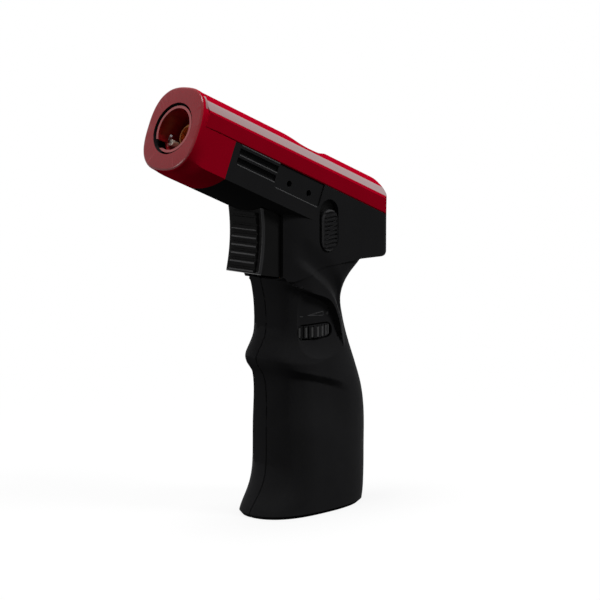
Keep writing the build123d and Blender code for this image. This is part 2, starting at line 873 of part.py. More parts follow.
with BuildPart() as side_cuts:
    # two wide grooves between three ribs, each with a bevelled lower lip
    for lip in rib_heights:
        with BuildSketch(across_barrel(rib_start)):
            with BuildLine():
                Polyline(
                    (-barrel_half_width - 1, lip),
                    (-barrel_half_width, lip),
                    (-barrel_half_width + rib_lip, lip + rib_lip),
                    (-barrel_half_width + rib_depth, lip + rib_lip),
                    (-barrel_half_width + rib_depth, lip + rib_groove),
                    (-barrel_half_width - 1, lip + rib_groove),
                    (-barrel_half_width - 1, lip),
                )
            make_face()
            mirror(about=Plane.YZ)
        extrude(amount=rib_end - rib_start)
    # the sunk panel behind the ribs
    for side in (-1, 1):
        y = side * barrel_half_width
        with BuildSketch(along_barrel(y + panel_depth)):
            with Locations(((rib_end + panel_end) / 2, (panel_low + parting_height + 3) / 2)):
                RectangleRounded(panel_end - rib_end, parting_height + 3 - panel_low, 1.2)
        extrude(amount=2 * panel_depth)

# the wheel is reached through a window in each side
with BuildPart() as wheel_windows:
    with BuildSketch(side_view(far / 2)):
        with Locations((valve_x, wheel_low + wheel_thickness / 2)):
            SlotOverall(wheel_slot_length, wheel_slot_height)
    extrude(amount=far)

vent_places = [(45.2, -3.0), (55.0, -3.0)]
with BuildPart() as vent_holes:
    with BuildSketch(along_barrel(far / 2)):
        with Locations(*vent_places):
            Circle(vent_radius)
    extrude(amount=far)

with BuildPart() as shells:
    add(outer_body)
    add(scoops(), mode=Mode.SUBTRACT)
    add(inner_body, mode=Mode.SUBTRACT)
    add(boss_core)
    add(body_cuts, mode=Mode.SUBTRACT)
    add(wheel_windows, mode=Mode.SUBTRACT)
    add(side_cuts, mode=Mode.SUBTRACT)
    add(vent_holes, mode=Mode.SUBTRACT)
    with BuildSketch(side_view(pin_half_length + 0.1)):
        with Locations((lever_pivot_x, lever_pivot_z)):
            Circle(pin_radius + press_gap)
    extrude(amount=2 * pin_half_length + 0.2, mode=Mode.SUBTRACT)
    # screw bores
    with BuildSketch(side_view(far / 2)):
        with Locations(*screw_places):
            Circle(screw_head_radius + 0.1)
    extrude(amount=far / 2 - screw_seat_y, mode=Mode.SUBTRACT)
    with BuildSketch(side_view(screw_seat_y + 1)):
        with Locations(*screw_places):
            Circle(screw_radius + press_gap)
    extrude(amount=screw_seat_y + 1 - screw_end_y + 0.2, mode=Mode.SUBTRACT)

lock_centre = lock_low + lock_window_height / 2
with BuildPart() as right_shell:
    add(shells)
    split(bisect_by=Plane.XZ, keep=Keep.TOP)
    with BuildSketch(side_view(-barrel_half_width / 2)):
        with Locations((lock_x, lock_centre)):
            SlotOverall(lock_window_height, lock_window_width, rotation=90)
    extrude(amount=far / 2, mode=Mode.SUBTRACT)
right_shell.part.label = "right_shell"

with BuildPart() as left_shell:
    add(shells)
    split(bisect_by=Plane.XZ, keep=Keep.BOTTOM)
left_shell.part.label = "left_shell"

with BuildPart() as case_screws:
    with BuildSketch(side_view(screw_seat_y)):
        with Locations(*screw_places):
            Circle(screw_radius)
    extrude(amount=screw_seat_y - screw_end_y)
    with BuildSketch(side_view(screw_seat_y + screw_head_height)):
        with Locations(*screw_places):
            Circle(screw_head_radius)
    extrude(amount=screw_head_height)
case_screws.part.label = "case_screws"

# lock slider

plate_thickness = 1.0
plate_face = barrel_half_width - wall - slide_gap
button_low = lock_low + 0.3
plate_overlap = 1.0
plate_side_overlap = 1.6
plate_height = lock_window_height + lock_travel + plate_overlap
plate_centre = lock_centre + (plate_overlap - lock_travel) / 2

with BuildPart() as lock_plate:
    with BuildSketch(side_view(-plate_face + plate_thickness)):
        with Locations((lock_x, plate_centre)):
            Rectangle(lock_window_width + 2 * plate_side_overlap, plate_height)
    extrude(amount=plate_thickness)
lock_plate.part.label = "lock_plate"

button_face = barrel_half_width + lock_proud
with BuildPart() as lock_button:
    with BuildSketch(side_view(-plate_face)):
        with Locations((lock_x, button_low + lock_button_height / 2)):
            SlotOverall(lock_button_height, lock_button_width, rotation=90)
    extrude(amount=button_face - plate_face)
    chamfer(lock_button.faces().sort_by(Axis.Y)[0].edges(), 0.5)
    # finger ribs across the face
    with BuildSketch(side_view(-button_face + 0.45)):
        with Locations(*[(lock_x, button_low + lock_button_height / 2 + 1.5 * step) for step in range(-4, 5)]):
            Rectangle(lock_button_width - 1.6, 0.7)
    extrude(amount=1.0, mode=Mode.SUBTRACT)
lock_button.part.label = "lock_button"

# gas pipe and igniter wire

pipe_exit_z = wheel_low + wheel_thickness + 2.3
with BuildPart() as gas_pipe:
    with BuildLine() as pipe_line:
        pipe_path = FilletPolyline(
            barrel_point(pipe_start, 0),
            barrel_point(pipe_start + 7, 0),
            barrel_point(pipe_start + 12, -8, 8.6),
            (1.5, 8.6, 92),
            (valve_x, 8.2, pipe_exit_z + 6),
            (valve_x, valve_radius + 4.4, pipe_exit_z),
            (valve_x, valve_radius + 1.6, pipe_exit_z),
            radius=1.9,
        )
    with BuildSketch(Plane(pipe_line.line @ 0, z_dir=pipe_line.line % 0)):
        RegularPolygon(pipe_radius, 10)
    sweep()
gas_pipe.part.label = "gas_pipe"

with BuildPart() as igniter_wire:
    with BuildLine() as wire_line:
        FilletPolyline(
            barrel_point(insulator_end, electrode_height, electrode_y),
            barrel_point(insulator_end + 5, electrode_height, electrode_y),
            barrel_point(insulator_end + 12, -7.0, -7.6),
            barrel_point(insulator_end + 24, -8.2, -7.6),
            along_trigger(-7.6).from_local_coords((piezo_start + 8, pusher_height, 0)),
            along_trigger(-piezo_side / 2).from_local_coords((piezo_start + 8, pusher_height, 0)),
            radius=1.6,
        )
    with BuildSketch(Plane(wire_line.line @ 0, z_dir=wire_line.line % 0)):
        RegularPolygon(wire_radius, 8)
    sweep()
igniter_wire.part.label = "igniter_wire"

pieces = [
    right_shell,
    left_shell,
    top_cover,
    muzzle_shroud,
    flame_guard,
    burner_nozzle,
    nozzle_holder,
    mixing_tube,
    gas_jet,
    gas_pipe,
    electrode_insulator,
    spark_electrode,
    igniter_wire,
    piezo_body,
    piezo_plunger,
    trigger,
    trigger_pad,
    trigger_spring,
    valve_lever,
    lever_pin,
    valve_body,
    valve_stem,
    flame_wheel,
    fuel_tank,
    tank_seal,
    tank_lid,
    filler_valve,
    filler_stem,
    filler_spring,
    base_plate,
    lock_plate,
    lock_button,
    case_screws,
]
for piece in pieces:
    export_step(piece.part, f"parts/{piece.part.label}.step")
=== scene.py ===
import json
import math

import bmesh
import bpy
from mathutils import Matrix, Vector
from mathutils.bvhtree import BVHTree

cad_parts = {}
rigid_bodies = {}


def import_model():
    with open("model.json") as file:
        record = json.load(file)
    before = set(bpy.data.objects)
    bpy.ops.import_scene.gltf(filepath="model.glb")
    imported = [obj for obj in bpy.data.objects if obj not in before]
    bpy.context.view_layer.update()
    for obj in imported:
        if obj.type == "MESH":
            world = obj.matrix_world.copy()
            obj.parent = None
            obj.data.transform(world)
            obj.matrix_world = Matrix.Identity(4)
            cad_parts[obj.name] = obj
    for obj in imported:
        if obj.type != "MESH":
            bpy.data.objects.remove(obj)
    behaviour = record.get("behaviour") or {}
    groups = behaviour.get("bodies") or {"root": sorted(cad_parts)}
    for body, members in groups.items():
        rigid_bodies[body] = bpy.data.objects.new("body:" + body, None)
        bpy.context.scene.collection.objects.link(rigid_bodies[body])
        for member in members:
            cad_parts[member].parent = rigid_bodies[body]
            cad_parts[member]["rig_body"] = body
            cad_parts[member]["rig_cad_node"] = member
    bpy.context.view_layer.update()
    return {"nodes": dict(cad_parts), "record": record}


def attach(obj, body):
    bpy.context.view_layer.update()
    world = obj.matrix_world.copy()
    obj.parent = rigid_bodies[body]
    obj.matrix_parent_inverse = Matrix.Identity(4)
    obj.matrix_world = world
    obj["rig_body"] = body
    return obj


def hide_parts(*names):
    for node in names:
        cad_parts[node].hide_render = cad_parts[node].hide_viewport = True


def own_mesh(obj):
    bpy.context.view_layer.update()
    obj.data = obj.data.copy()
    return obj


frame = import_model()
nodes = frame["nodes"]
print("frame loaded:", len(nodes), "nodes")

mm = 0.001
# face angles, in degrees, over which an edge is drawn sharp
sharpAngles = {"plain": 28, "nose": 24, "crown": 9, "grip": 30, "bars": 40}


# small helpers

def sRgb(r, g, b):
    def channel(value):
        value /= 255
        return value / 12.92 if value <= 0.04045 else ((value + 0.055) / 1.055) ** 2.4
    return (channel(r), channel(g), channel(b), 1.0)


def setInput(node, name, value):
    node.inputs[name].default_value = value


class Shader:
    # a Principled material with a few procedural layers on Object coordinates

    def __init__(self, name, colour, roughness, **values):
        self.material = bpy.data.materials.new(name)
        self.material.use_nodes = True
        self.nodes = self.material.node_tree.nodes
        self.links = self.material.node_tree.links
        self.surface = self.nodes["Principled BSDF"]
        self.place = self.nodes.new("ShaderNodeTexCoord").outputs["Object"]
        setInput(self.surface, "Base Color", colour)
        setInput(self.surface, "Roughness", roughness)
        for key, value in values.items():
            setInput(self.surface, key, value)

    def noise(self, scale, detail=3.0, roughness=0.5, stretch=None):
        node = self.nodes.new("ShaderNodeTexNoise")
        setInput(node, "Scale", scale)
        setInput(node, "Detail", detail)
        setInput(node, "Roughness", roughness)
        source = self.place
        if stretch:
            mapping = self.nodes.new("ShaderNodeMapping")
            setInput(mapping, "Scale", stretch)
            self.links.new(source, mapping.inputs["Vector"])
            source = mapping.outputs["Vector"]
        self.links.new(source, node.inputs["Vector"])
        return node.outputs["Fac"]

    def tint(self, source, first, second):
        node = self.nodes.new("ShaderNodeMix")
        node.data_type = "RGBA"
        setInput(node, "A", first)
        setInput(node, "B", second)
        self.links.new(source, node.inputs["Factor"])
        self.links.new(node.outputs["Result"], self.surface.inputs["Base Color"])

    def rough(self, source, low, high):
        node = self.nodes.new("ShaderNodeMapRange")
        for key, value in (("From Min", 0.3), ("From Max", 0.7), ("To Min", low), ("To Max", high)):
            setInput(node, key, value)
        self.links.new(source, node.inputs["Value"])
        self.links.new(node.outputs["Result"], self.surface.inputs["Roughness"])

    def bump(self, source, depth):
        node = self.nodes.new("ShaderNodeBump")
        setInput(node, "Distance", depth)
        setInput(node, "Strength", 1.0)
        self.links.new(source, node.inputs["Height"])
        self.links.new(node.outputs["Normal"], self.surface.inputs["Normal"])


# materials

bodyLook = {"colour": sRgb(40, 40, 41), "grain": sRgb(35, 35, 36), "roughness": 0.5, "sheen": 0.006}
redLook = {
    "colour": sRgb(178, 3, 35), "shade": sRgb(167, 2, 30), "roughness": 0.32, "sheen": 0.0,
    "polished": sRgb(132, 3, 20), "polishedShade": sRgb(124, 2, 18), "polishedSheen": 0.32, "grainScale": 700,
}


def moulded(name, colour, shade, roughness, grainDepth, sheen=0.06, grainScale=2600):
    look = Shader(name, colour, roughness, **{"Specular IOR Level": sheen})
    look.tint(look.noise(140, 4), colour, shade)
    look.rough(look.noise(60, 3), roughness - 0.05, roughness + 0.06)
    look.bump(look.noise(grainScale, 2, 0.6), grainDepth)
    return look.material


blackPlastic = moulded(
    "blackPlastic", bodyLook["colour"], bodyLook["grain"], bodyLook["roughness"], 0.010 * mm, bodyLook["sheen"],
)
triggerPlastic = moulded("triggerPlastic", sRgb(35, 35, 35), sRgb(30, 30, 30), 0.5, 0.008 * mm, 0.01)
# a lighter, glossier black for edges that catch the light: a painted highlight
polishedBlack = moulded("polishedBlack", sRgb(46, 46, 47), sRgb(40, 40, 41), 0.35, 0.003 * mm, 0.12)
# a lighter grey black: painted highlight on the pad ridges, the rib lips and the panel ledge; also the colour of the
# marks
wornBlack = moulded("wornBlack", sRgb(84, 84, 85), sRgb(72, 72, 73), 0.35, 0.003 * mm, 0.1)
undersidePlastic = moulded("undersidePlastic", bodyLook["colour"], bodyLook["grain"], 0.6, 0.008 * mm, 0.0)
buttonPlastic = moulded("buttonPlastic", sRgb(40, 40, 41), sRgb(34, 34, 35), 0.42, 0.006 * mm, 0.02)
# lighter grey for the wheel's teeth: a painted highlight
wheelPlastic = moulded("wheelPlastic", sRgb(84, 84, 84), sRgb(72, 72, 72), 0.35, 0.006 * mm, 0.1)
innerPlastic = moulded("innerPlastic", sRgb(20, 20, 20), sRgb(16, 16, 16), 0.6, 0.01 * mm)
softSeal = moulded("softSeal", sRgb(26, 26, 26), sRgb(20, 20, 20), 0.7, 0.01 * mm)
smokedTank = moulded("smokedTank", sRgb(60, 60, 60), sRgb(48, 48, 48), 0.35, 0.004 * mm, 0.3)
redPlastic = moulded(
    "redPlastic", redLook["colour"], redLook["shade"], redLook["roughness"], 0.002 * mm,
    redLook["sheen"], redLook["grainScale"],
)
# the mouth's face: a darker, glossier copy of the cover red, a painted sheen
mouthRed = moulded(
    "mouthRed", redLook["polished"], redLook["polishedShade"], 0.25, 0.001 * mm,
    redLook["polishedSheen"], redLook["grainScale"],
)

# the shoulder facets: a darker copy of the cover red with strong gloss and a coat, a painted reflection on a darker
# red
bandReflectionShader = Shader(
    "bandRed", sRgb(111, 3, 18), 0.16, **{"Specular IOR Level": 1.0, "Coat Weight": 0.6, "Coat Roughness": 0.12},
)
bandReflectionShader.tint(bandReflectionShader.noise(140, 4), sRgb(113, 3, 18), sRgb(104, 2, 15))
bandRed = bandReflectionShader.material

guardShader = Shader("guardRed", sRgb(150, 20, 28), 0.3, **{"Coat Weight": 0.4, "Coat Roughness": 0.15})
guardShader.tint(guardShader.noise(200, 3), sRgb(150, 18, 26), sRgb(118, 12, 18))
guardShader.bump(guardShader.noise(900, 2), 0.004 * mm)
guardRed = guardShader.material


def metal(name, colour, shade, roughness, scratch=(1, 1, 14)):
    look = Shader(name, colour, roughness, **{"Metallic": 1.0})
    look.tint(look.noise(220, 4), colour, shade)
    look.rough(look.noise(500, 3, stretch=scratch), roughness - 0.08, roughness + 0.1)
    look.bump(look.noise(900, 2, stretch=scratch), 0.003 * mm)
    return look.material


brassMetal = metal("brassMetal", sRgb(206, 148, 92), sRgb(170, 110, 62), 0.32)
steelMetal = metal("steelMetal", sRgb(186, 186, 188), sRgb(150, 150, 152), 0.3)
aluMetal = metal("aluMetal", sRgb(150, 148, 146), sRgb(120, 118, 116), 0.42)

ceramicShader = Shader("ceramicWhite", sRgb(215, 208, 196), 0.25)
ceramicShader.tint(ceramicShader.noise(300, 3), sRgb(215, 208, 196), sRgb(180, 170, 156))
ceramicShader.bump(ceramicShader.noise(800, 2), 0.004 * mm)
ceramicWhite = ceramicShader.material

finish = {
    "right_shell": blackPlastic, "left_shell": blackPlastic, "top_cover": redPlastic, "muzzle_shroud": redPlastic,
    "flame_guard": guardRed, "burner_nozzle": brassMetal, "nozzle_holder": aluMetal, "mixing_tube": brassMetal,
    "gas_jet": brassMetal, "gas_pipe": brassMetal, "electrode_insulator": ceramicWhite,
    "spark_electrode": steelMetal, "igniter_wire": innerPlastic, "piezo_body": innerPlastic,
    "piezo_plunger": steelMetal, "trigger": triggerPlastic, "trigger_pad": triggerPlastic,
    "trigger_spring": steelMetal, "valve_lever": steelMetal, "lever_pin": steelMetal, "valve_body": aluMetal,
    "valve_stem": steelMetal, "flame_wheel": buttonPlastic, "fuel_tank": smokedTank, "tank_seal": softSeal,
    "tank_lid": smokedTank, "filler_valve": brassMetal, "filler_stem": brassMetal, "filler_spring": steelMetal,
    "base_plate": innerPlastic, "lock_plate": innerPlastic, "lock_button": buttonPlastic, "case_screws": steelMetal,
}
for name, material in finish.items():
    nodes[name].data.materials.clear()
    nodes[name].data.materials.append(material)
print("finishes given to", len(finish), "nodes")


# dressed copies

def copyOf(name, label):
    # the node's own shape, welded so that its rounded faces shade smoothly
    piece = nodes[name].copy()
    piece.data = nodes[name].data.copy()
    piece.name = label
    piece.data.name = label
    piece.parent = None
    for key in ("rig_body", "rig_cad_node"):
        if key in piece:
            del piece[key]
    bpy.context.scene.collection.objects.link(piece)
    mesh = bmesh.new()
    mesh.from_mesh(piece.data)
    bmesh.ops.remove_doubles(mesh, verts=mesh.verts, dist=0.002 * mm)
    mesh.to_mesh(piece.data)
    mesh.free()
    if piece.data.attributes.get("custom_normal"):
        piece.data.attributes.remove(piece.data.attributes["custom_normal"])
    smooth(piece, sharpAngles["plain"])
    return piece


def smooth(piece, sharpAngle):
    piece.data.polygons.foreach_set("use_smooth", [True] * len(piece.data.polygons))
    mesh = bmesh.new()
    mesh.from_mesh(piece.data)
    limit = math.radians(sharpAngle)
    for edge in mesh.edges:
        edge.smooth = len(edge.link_faces) == 2 and edge.calc_face_angle(0) < limit
    mesh.to_mesh(piece.data)
    mesh.free()


dressed = {
    "right_shell": "rightShell", "left_shell": "leftShell", "top_cover": "topCover", "muzzle_shroud": "muzzleShroud",
    "flame_guard": "flameGuard", "burner_nozzle": "burnerNozzle", "trigger": "triggerBlock",
    "trigger_pad": "triggerPad", "lock_button": "lockButton", "flame_wheel": "flameWheel",
    "trigger_spring": "triggerSpring", "filler_spring": "fillerSpring",
}
bodies = frame["record"]["behaviour"]["bodies"]
bodyOf = {name: next(body for body, group in bodies.items() if name in group) for name in nodes}
made = {name: copyOf(name, label) for name, label in dressed.items()}
print("copies made:", len(made))


# the barrel points along a pitched line; places on it are given by station, width and height

barrel = {"pitch": 22.5, "muzzle": (-57.5, 136.7), "parting": 2.2}
pitch = math.radians(barrel["pitch"])
barrelAxis = Vector((math.cos(pitch), 0, -math.sin(pitch)))
barrelUp = Vector((math.sin(pitch), 0, math.cos(pitch)))
muzzleCentre = Vector((barrel["muzzle"][0], 0, barrel["muzzle"][1])) * mm


def alongBarrel(point):
    # station behind the muzzle face, place across it and height above the bore, in millimetres
    reach = point - muzzleCentre
    return reach.dot(barrelAxis) / mm, reach.y / mm, reach.dot(barrelUp) / mm


def pointOnBarrel(station, across, height):
    return muzzleCentre + barrelAxis * station * mm + Vector((0, across * mm, 0)) + barrelUp * height * mm


def easeStep(value, low, high):
    share = min(max((value - low) / (high - low), 0.0), 1.0)
    return share * share * (3 - 2 * share)


def radialAt(across, height):
    # from the bore's centre line to a place in the section
    return Vector((0, across, 0)) + barrelUp * height


def sliceFaces(mesh, keep, place, normal):
    # cuts the kept faces along a plane, so that they can bend there
    faces = [face for face in mesh.faces if keep(face)]
    parts = dict.fromkeys(part for face in faces for part in [*face.verts, *face.edges])
    bmesh.ops.bisect_plane(mesh, geom=[*parts, *faces], dist=1e-7, plane_co=place, plane_no=normal)


# red nose: a soft oval mouth with a rounded rim
muzzle = {
    "halfWidth": 13.15, "top": 14.65, "bottom": 14.65, "bluntness": 2.6, "blend": 7.0, "rim": 1.0,
    "innerRadius": 9.6, "boreRadius": 9.3, "noseLength": 12, "mouthDepth": 0.35,
    "cuts": (0.08, 0.2, 0.4, 0.65, 0.95, 1.3, 2.0, 3.0, 4.2, 5.6, 7.0), "turnStart": 1.2, "turnStep": 5,
}


def roundMuzzle(piece):
    mesh = bmesh.new()
    mesh.from_mesh(piece.data)

    def onNose(face):
        station, across, height = alongBarrel(face.calc_center_median())
        radial = radialAt(across, height)
        outward = face.normal.dot(radial.normalized()) > 0.2 and radial.length > 10.5
        front = face.normal.dot(barrelAxis) < -0.3 and station < 1.5
        return station < muzzle["noseLength"] and (outward or front)

    for station in muzzle["cuts"]:
        sliceFaces(mesh, onNose, pointOnBarrel(station, 0, 0), barrelAxis)
    for turn in range(0, 180, muzzle["turnStep"]):
        angle = math.radians(turn + muzzle["turnStart"])
        sliceFaces(mesh, onNose, muzzleCentre, radialAt(math.cos(angle), math.sin(angle)))
    mesh.normal_update()
    nose = {vert for face in mesh.faces if onNose(face) for vert in face.verts}
    for vert in nose:
        station, across, height = alongBarrel(vert.co)
        radius = math.hypot(across, height)
        if radius < muzzle["innerRadius"] or station > muzzle["blend"]:
            continue
        power = muzzle["bluntness"]
        tallness = muzzle["top"] if height > 0 else muzzle["bottom"]
        wide = abs(across / radius / muzzle["halfWidth"]) ** power
        tall = abs(height / radius / tallness) ** power
        oval = (wide + tall) ** (-1 / power)
        back = min(station / muzzle["rim"], 1.0)
        rounded = muzzle["rim"] * (1 - math.sqrt(max(1 - (1 - back) ** 2, 0.0)))
        square = radius + max(muzzle["rim"] - station, 0.0)
        target = oval + (square - oval) * easeStep(station, 0.5, muzzle["blend"]) - rounded
        vert.co += radialAt(across, height) * (target / radius - 1) * mm
    mesh.to_mesh(piece.data)
    mesh.free()
    smooth(piece, sharpAngles["nose"])


# red cover: one crisp facet along each shoulder, and a crown that rises from its upper edge
band = {
    "low": (12.95, 7.9), "high": (9.1, 11.35), "crownTop": 14.9, "crownCuts": ((8.2, 11.9), (5.0, 13.9), (2.5, 14.7)),
    "start": 1.5, "full": 4.0, "foot": 7.6, "edge": 12.9,
}
packedCrown = {"top": 14.9, "edge": (7.1, 13.0), "slope": 2.75 / 3.3}


def onBand(across, height):
    # the flat facet along each shoulder
    return band["high"][0] < across < band["low"][0] and height > band["low"][1] - 0.1


def cadCrown(wide):
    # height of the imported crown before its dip
    edge, height = packedCrown["edge"]
    if wide > edge:
        return height - (wide - edge) * packedCrown["slope"]
    return packedCrown["top"] - (packedCrown["top"] - height) * (wide / edge) ** 2


def drawShoulder(piece):
    mesh = bmesh.new()
    mesh.from_mesh(piece.data)

    def top(face):
        station, across, height = alongBarrel(face.calc_center_median())
        radial = radialAt(across, height)
        return height > 6.5 and face.normal.dot(radial) > 0.2 * radial.length and radial.length > 12

    low, high = band["low"], band["high"]
    for side in (-1, 1):
        for across, height in (low, high, *band["crownCuts"]):
            sliceFaces(mesh, top, muzzleCentre, radialAt(height * side, -across))
    sag = (band["crownTop"] - high[1]) / high[0] ** 2
    for vert in {vert for face in mesh.faces if top(face) for vert in face.verts}:
        station, across, height = alongBarrel(vert.co)
        wide = abs(across)
        if station < band["start"] or height < band["foot"] or wide > band["edge"]:
            continue
        if wide > high[0] - 0.05:
            target = low[1] + (high[1] - low[1]) * (low[0] - wide) / (low[0] - high[0])
        else:
            target = band["crownTop"] - sag * wide ** 2
            target -= max(cadCrown(wide) - height, 0.0)
        vert.co += barrelUp * (target - height) * mm * easeStep(station, band["start"], band["full"])
    mesh.to_mesh(piece.data)
    mesh.free()
    smooth(piece, sharpAngles["crown"])


# the parting lines: a fine V along the edges that lie in a plane
seam = {"width": 0.3, "depth": 0.4, "reach": 12, "skin": 12.6, "start": 2.5, "coreX": 4, "coreTop": 100}


def groove(piece, place, normal, keep, outside, angle):
    mesh = bmesh.new()
    mesh.from_mesh(piece.data)
    place, normal = Vector(place), Vector(normal).normalized()

    def onSide(face):
        return abs(face.normal.dot(normal)) < 0.9 and keep(face)

    def near(face):
        return onSide(face) and abs((face.calc_center_median() - place).dot(normal)) < seam["reach"] * mm

    for side in (-1, 1):
        sliceFaces(mesh, near, place + normal * side * seam["width"] * mm, normal)
    mesh.normal_update()
    for vert in mesh.verts:
        if abs((vert.co - place).dot(normal)) > 0.004 * mm:
            continue
        skin = [face.normal for face in vert.link_faces if onSide(face)]
        if skin and outside(vert.co):
            vert.co -= sum(skin, Vector()).normalized() * seam["depth"] * mm
    mesh.to_mesh(piece.data)
    mesh.free()
    smooth(piece, angle)


for name in ("top_cover", "muzzle_shroud"):
    roundMuzzle(made[name])
drawShoulder(made["top_cover"])
for name in ("top_cover", "muzzle_shroud", "right_shell", "left_shell"):
    groove(
        made[name], pointOnBarrel(0, 0, barrel["parting"]), barrelUp,
        lambda face: abs(face.normal.y) > 0.6,
        lambda point: abs(point.y) > seam["skin"] * mm and alongBarrel(point)[0] > seam["start"],
        sharpAngles["crown"] if name == "top_cover" else sharpAngles["nose"],
    )

for name in ("top_cover", "muzzle_shroud"):
    piece = made[name]
    for material in (mouthRed, bandRed, blackPlastic):
        piece.data.materials.append(material)
    # the third added slot paints the inward-facing walls and the bore of the red pieces black: painted shade
    mouthSlot, bandSlot, paintedShadeSlot = 1, 2, 3
    for face in piece.data.polygons:
        station, across, height = alongBarrel(face.center)
        radial = radialAt(across, height)
        rim = station < muzzle["mouthDepth"] and radial.length > muzzle["innerRadius"]
        inward = face.normal.dot(radial.normalized()) < -0.35 and station > 1
        if rim or (face.normal.dot(barrelAxis) < -0.6 and station < 1):
            face.material_index = mouthSlot
        elif onBand(abs(across), height) and face.normal.dot(radial) > 0 and station > band["start"]:
            face.material_index = bandSlot
        elif inward or radial.length < muzzle["boreRadius"]:
            face.material_index = paintedShadeSlot
print("nose and cover drawn")


# grip and housing: the swept shoulder, the hollow for the fingers and the ridge under it are drawn out
carving = {
    "left": -24.0, "right": 26.0, "low": 26.0, "high": 98.0, "stepX": 1.0, "stepZ": 0.8,
    "swooshTop": [(-26, 94.5), (-14, 91.9), (-9.9, 90.0), (-5, 87.0), (1.6, 82.2), (6, 77.6), (8.5, 74.2), (11, 68)],
    "swooshLow": [(-26, 92.5), (-15.3, 90.1), (-8.8, 86.0), (-1.2, 80.6), (2.1, 77.6), (5.5, 73.6), (9, 67)],
    "hollowEdge": [(-26, 85.6), (-17.5, 83.4), (-6.6, 78.4), (2.0, 75.0), (6.3, 69.5), (8.2, 63.0), (9.5, 58)],
    "ridgeTop": [(-26, 55.9), (-21, 55.7), (-11.4, 54.1), (-4.2, 53.8), (0.2, 54.7), (6, 57.5), (10, 61)],
    "ridgeLow": [(-26, 54.9), (-22.9, 54.6), (-16.2, 52.5), (-1.7, 48.8), (5.7, 46.5), (14, 43)],
    "swooshSink": 1.3, "swooshRise": 0.85, "swooshRunOut": 9, "frontFade": (-15, -6), "rearFade": (8, 12),
    "edgeStep": 1.0, "edgeWidth": 0.8, "frontHollow": 0.6, "hollowFade": (-12, -5),
    "ridgeRise": 0.4, "ridgeFlare": 7, "ridgeFade": (4, 12), "ridgeStep": 2.5,
    "calfSink": 1.2, "calfReturn": (4, 22), "calfFade": (2, 14), "deepest": -1.3,
    "screw": (-12, 57.2), "screwClear": 3.4,
}
# the lower front corner of the trigger slot ends level with the trigger
slotCorner = {"x": -16.9, "across": 8.6, "low": 82.9, "high": 84.2, "level": 84.3}


def lineAt(points, x):
    # height of a drawn line at x, straight between its points
    if x <= points[0][0]:
        return points[0][1]
    for (x0, z0), (x1, z1) in zip(points, points[1:]):
        if x <= x1:
            return z0 + (z1 - z0) * (x - x0) / (x1 - x0)
    return points[-1][1]


def straightStep(value, low, high):
    return min(max((value - low) / (high - low), 0.0), 1.0)


def carve(x, z):
    # how far the side stands out (or in, below zero) at a place in its side view, in millimetres
    top = lineAt(carving["swooshTop"], x)
    low = lineAt(carving["swooshLow"], x)
    edge = lineAt(carving["hollowEdge"], x)
    ridgeTop = lineAt(carving["ridgeTop"], x)
    ridgeLow = lineAt(carving["ridgeLow"], x)
    rise, sink, swell = carving["swooshRise"], carving["swooshSink"], carving["ridgeRise"]
    rear = 1 - easeStep(x, *carving["rearFade"])
    middle = easeStep(x, *carving["frontFade"]) * rear
    if z > top:
        return -sink * (1 - easeStep(z, top, top + carving["swooshRunOut"])) * middle
    if z > low:
        return (rise - (rise + sink) * straightStep(z, low, top)) * middle
    if z > edge:
        return rise * middle
    if z > ridgeTop:
        # a sharp step under the edge, then a hollow that runs out onto the ridge
        foot = edge - carving["edgeWidth"]
        down = straightStep(edge - z, 0, carving["edgeWidth"])
        share = straightStep(z, ridgeTop, foot)
        hollow = (rise * (1 - down) - carving["edgeStep"] * down * share) * rear
        deeper = -carving["frontHollow"] * math.sin(math.pi * share) * (1 - easeStep(x, *carving["hollowFade"]))
        flare = (1 - straightStep(z, ridgeTop, ridgeTop + carving["ridgeFlare"])) ** 2
        return hollow + deeper + swell * flare * (1 - easeStep(x, *carving["ridgeFade"]))
    # the ridge steps down to the calf, which swells back further down
    below = ridgeLow - z
    down = straightStep(below, 0, carving["ridgeStep"])
    calf = carving["calfSink"] * down * (1 - easeStep(below, *carving["calfReturn"]))
    return (swell * (1 - down) - calf) * (1 - easeStep(x, *carving["calfFade"]))


def nearScrew(point):
    x, z = carving["screw"]
    return math.hypot(point.x - x * mm, point.z - z * mm) < carving["screwClear"] * mm and abs(point.y) < 9.5 * mm


